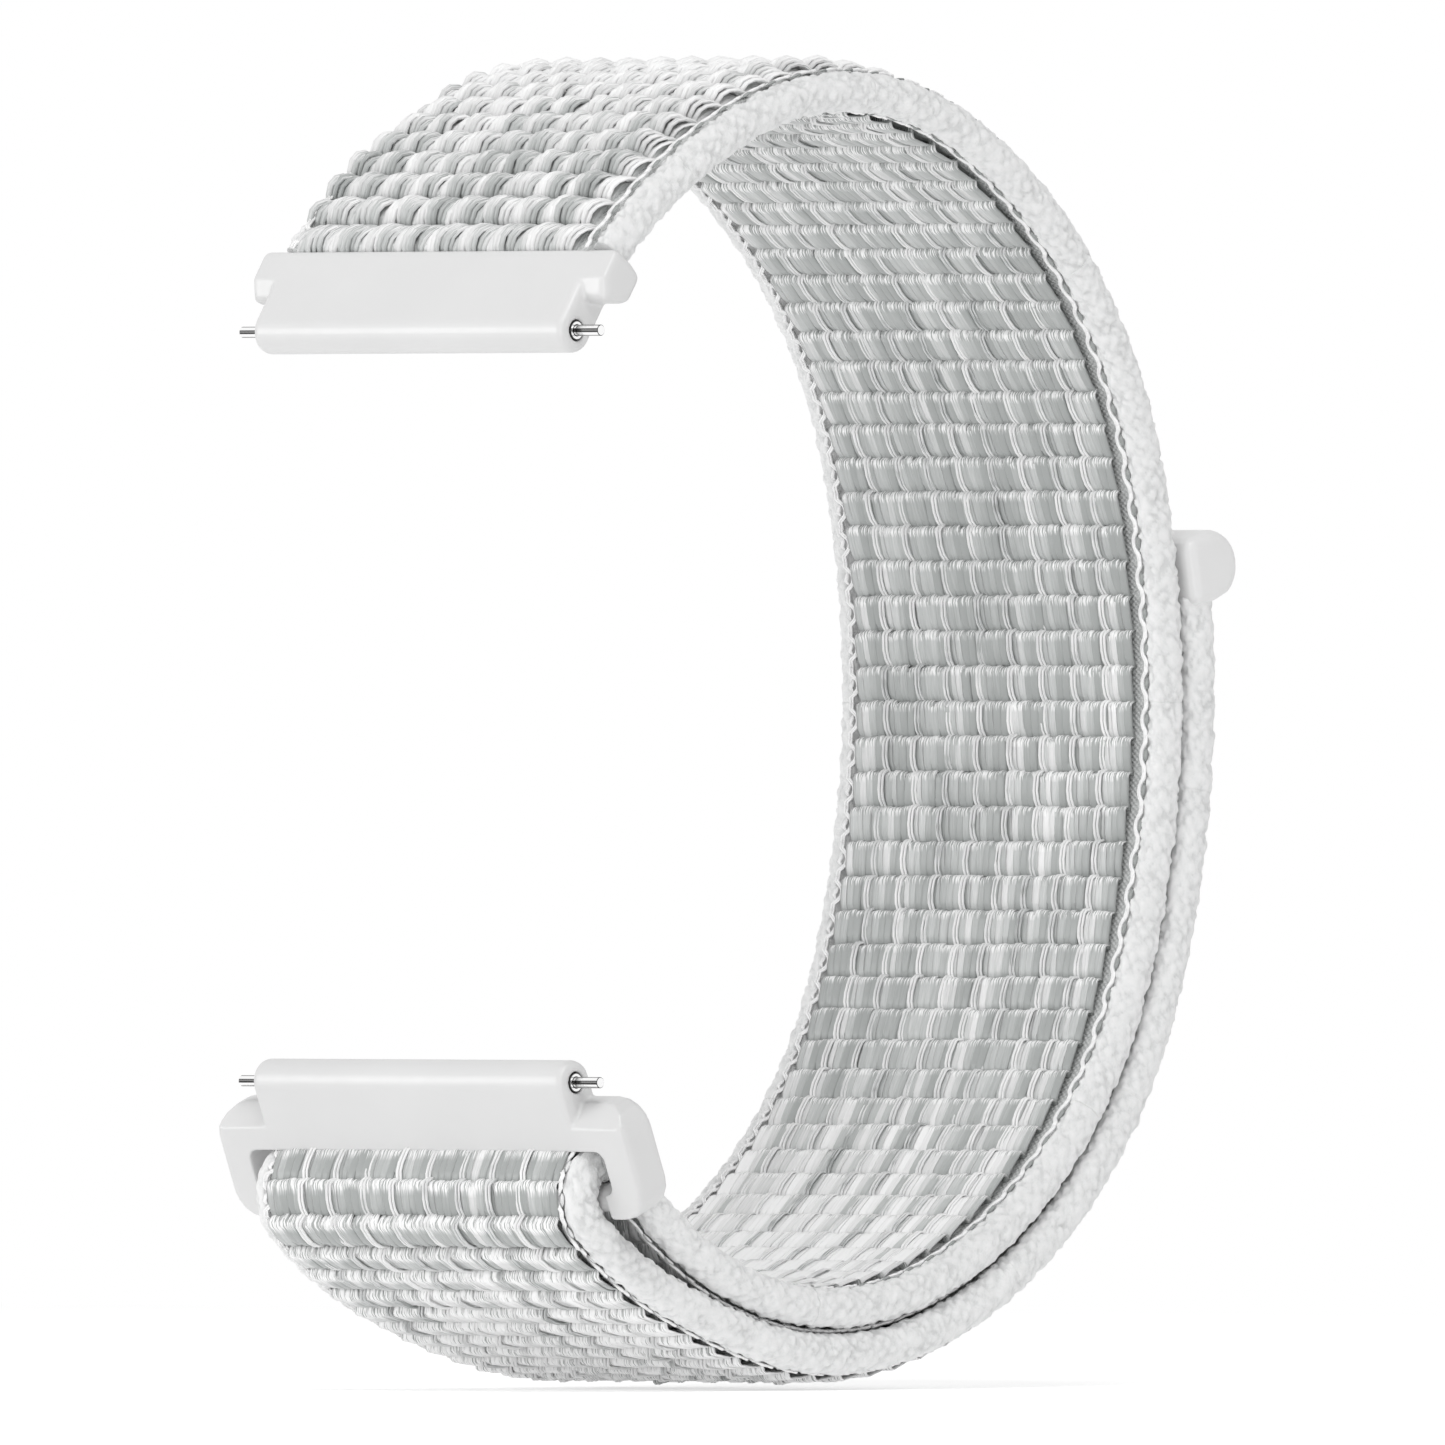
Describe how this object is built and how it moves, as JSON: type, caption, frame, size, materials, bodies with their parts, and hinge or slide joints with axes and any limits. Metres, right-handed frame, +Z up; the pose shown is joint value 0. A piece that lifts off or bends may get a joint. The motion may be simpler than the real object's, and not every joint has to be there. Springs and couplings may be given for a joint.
{
  "type": "hook and loop watch strap",
  "caption": "Woven nylon watch strap, closed as worn: corded edges, fold-back hook and loop tail with a grip tab, and two moulded lug adapters with sprung bars.",
  "frame": {"origin": "middle of the upper spring bar, on its axis, where a watch's lugs hold the strap", "axes": "+X from the watch towards the closure, +Y across the strap along both spring bars, +Z up, from the lower adapter to the upper one"},
  "size_m": [0.0463, 0.026, 0.061],
  "materials": {
    "white_plastic": "smooth semi-gloss white moulding",
    "woven_web": "white and grey glossy filament nylon, woven in rows",
    "edge_cord": "matte white braided cord",
    "spring_bar_steel": "polished stainless steel",
    "spring_wire": "drawn spring wire",
    "hook_nylon": "moulded nylon hooks on a thin backing"
  },
  "bodies": {
    "upper_adapter": {"upper_adapter": "white_plastic", "web_end_in_adapter": "woven_web", "upper_bar_tube": "spring_bar_steel", "upper_bar_spring": "spring_wire"},
    "upper_near_plunger": {"upper_bar_near_plunger": "spring_bar_steel"},
    "upper_far_plunger": {"upper_bar_far_plunger": "spring_bar_steel"},
    "band_upper": {"web_upper": "woven_web", "near_cord_upper": "edge_cord", "far_cord_upper": "edge_cord"},
    "band_crown": {"web_crown": "woven_web", "near_cord_crown": "edge_cord", "far_cord_crown": "edge_cord"},
    "band_shoulder": {"web_shoulder": "woven_web", "near_cord_shoulder": "edge_cord", "far_cord_shoulder": "edge_cord"},
    "band_closure": {"web_side": "woven_web", "near_cord_side": "edge_cord", "far_cord_side": "edge_cord", "web_turn": "woven_web", "near_cord_turn": "edge_cord", "far_cord_turn": "edge_cord", "web_base": "woven_web", "near_cord_base": "edge_cord", "far_cord_base": "edge_cord", "web_fold": "woven_web", "near_cord_fold": "edge_cord", "far_cord_fold": "edge_cord", "web_tail_root": "woven_web", "near_cord_tail_root": "edge_cord", "far_cord_tail_root": "edge_cord"},
    "lower_adapter": {"lower_adapter_frame": "white_plastic", "lower_bar_tube": "spring_bar_steel", "lower_bar_spring": "spring_wire"},
    "lower_near_plunger": {"lower_bar_near_plunger": "spring_bar_steel"},
    "lower_far_plunger": {"lower_bar_far_plunger": "spring_bar_steel"},
    "tail_lower": {"web_tail_lower": "woven_web", "near_cord_tail_lower": "edge_cord", "far_cord_tail_lower": "edge_cord"},
    "tail_middle": {"web_tail_middle": "woven_web", "near_cord_tail_middle": "edge_cord", "far_cord_tail_middle": "edge_cord", "hook_patch_lower": "hook_nylon"},
    "tail_tip": {"web_tail_tip": "woven_web", "near_cord_tail_tip": "edge_cord", "far_cord_tail_tip": "edge_cord", "hook_patch_upper": "hook_nylon", "tail_tab": "white_plastic"}
  },
  "joints": [
    {"name": "upper_near_plunger_press", "type": "slide", "parent": "upper_adapter", "child": "upper_near_plunger", "axis": [0, 1, 0], "range_m": [0, 0.0014], "stiffness_N_per_m": 300, "deforming": ["upper_bar_spring"]},
    {"name": "upper_far_plunger_press", "type": "slide", "parent": "upper_adapter", "child": "upper_far_plunger", "axis": [0, -1, 0], "range_m": [0, 0.0014], "stiffness_N_per_m": 300, "deforming": ["upper_bar_spring"]},
    {"name": "upper_end_bend", "type": "hinge", "parent": "upper_adapter", "child": "band_upper", "pos_m": [0.00148, 0, 0.00411], "axis": [0, -1, 0], "range_deg": [-6, 20], "stiffness_Nm_per_rad": 0.08},
    {"name": "crown_bend", "type": "hinge", "parent": "band_upper", "child": "band_crown", "pos_m": [0.01157, 0, 0.0108], "axis": [0, -1, 0], "range_deg": [-6, 25], "stiffness_Nm_per_rad": 0.08},
    {"name": "shoulder_bend", "type": "hinge", "parent": "band_crown", "child": "band_shoulder", "pos_m": [0.02763, 0, 0.01014], "axis": [0, -1, 0], "range_deg": [-6, 25], "stiffness_Nm_per_rad": 0.08},
    {"name": "side_bend", "type": "hinge", "parent": "band_shoulder", "child": "band_closure", "pos_m": [0.04059, 0, -0.0059], "axis": [0, -1, 0], "range_deg": [-6, 25], "stiffness_Nm_per_rad": 0.08},
    {"name": "lower_adapter_tilt", "type": "hinge", "parent": "band_closure", "child": "lower_adapter", "pos_m": [0.00217, 0, -0.0404], "axis": [0, 1, 0], "range_deg": [-30, 30]},
    {"name": "lower_near_plunger_press", "type": "slide", "parent": "lower_adapter", "child": "lower_near_plunger", "axis": [0, 1, 0], "range_m": [0, 0.0014], "stiffness_N_per_m": 300, "deforming": ["lower_bar_spring"]},
    {"name": "lower_far_plunger_press", "type": "slide", "parent": "lower_adapter", "child": "lower_far_plunger", "axis": [0, -1, 0], "range_m": [0, 0.0014], "stiffness_N_per_m": 300, "deforming": ["lower_bar_spring"]},
    {"name": "tail_lower_peel", "type": "hinge", "parent": "band_closure", "child": "tail_lower", "pos_m": [0.02473, 0, -0.04777], "axis": [0, 1, 0], "range_deg": [0, 30]},
    {"name": "tail_middle_peel", "type": "hinge", "parent": "tail_lower", "child": "tail_middle", "pos_m": [0.03537, 0, -0.04137], "axis": [0, 1, 0], "range_deg": [0, 35]},
    {"name": "tail_tip_peel", "type": "hinge", "parent": "tail_middle", "child": "tail_tip", "pos_m": [0.04196, 0, -0.03084], "axis": [0, 1, 0], "range_deg": [0, 40]}
  ]
}
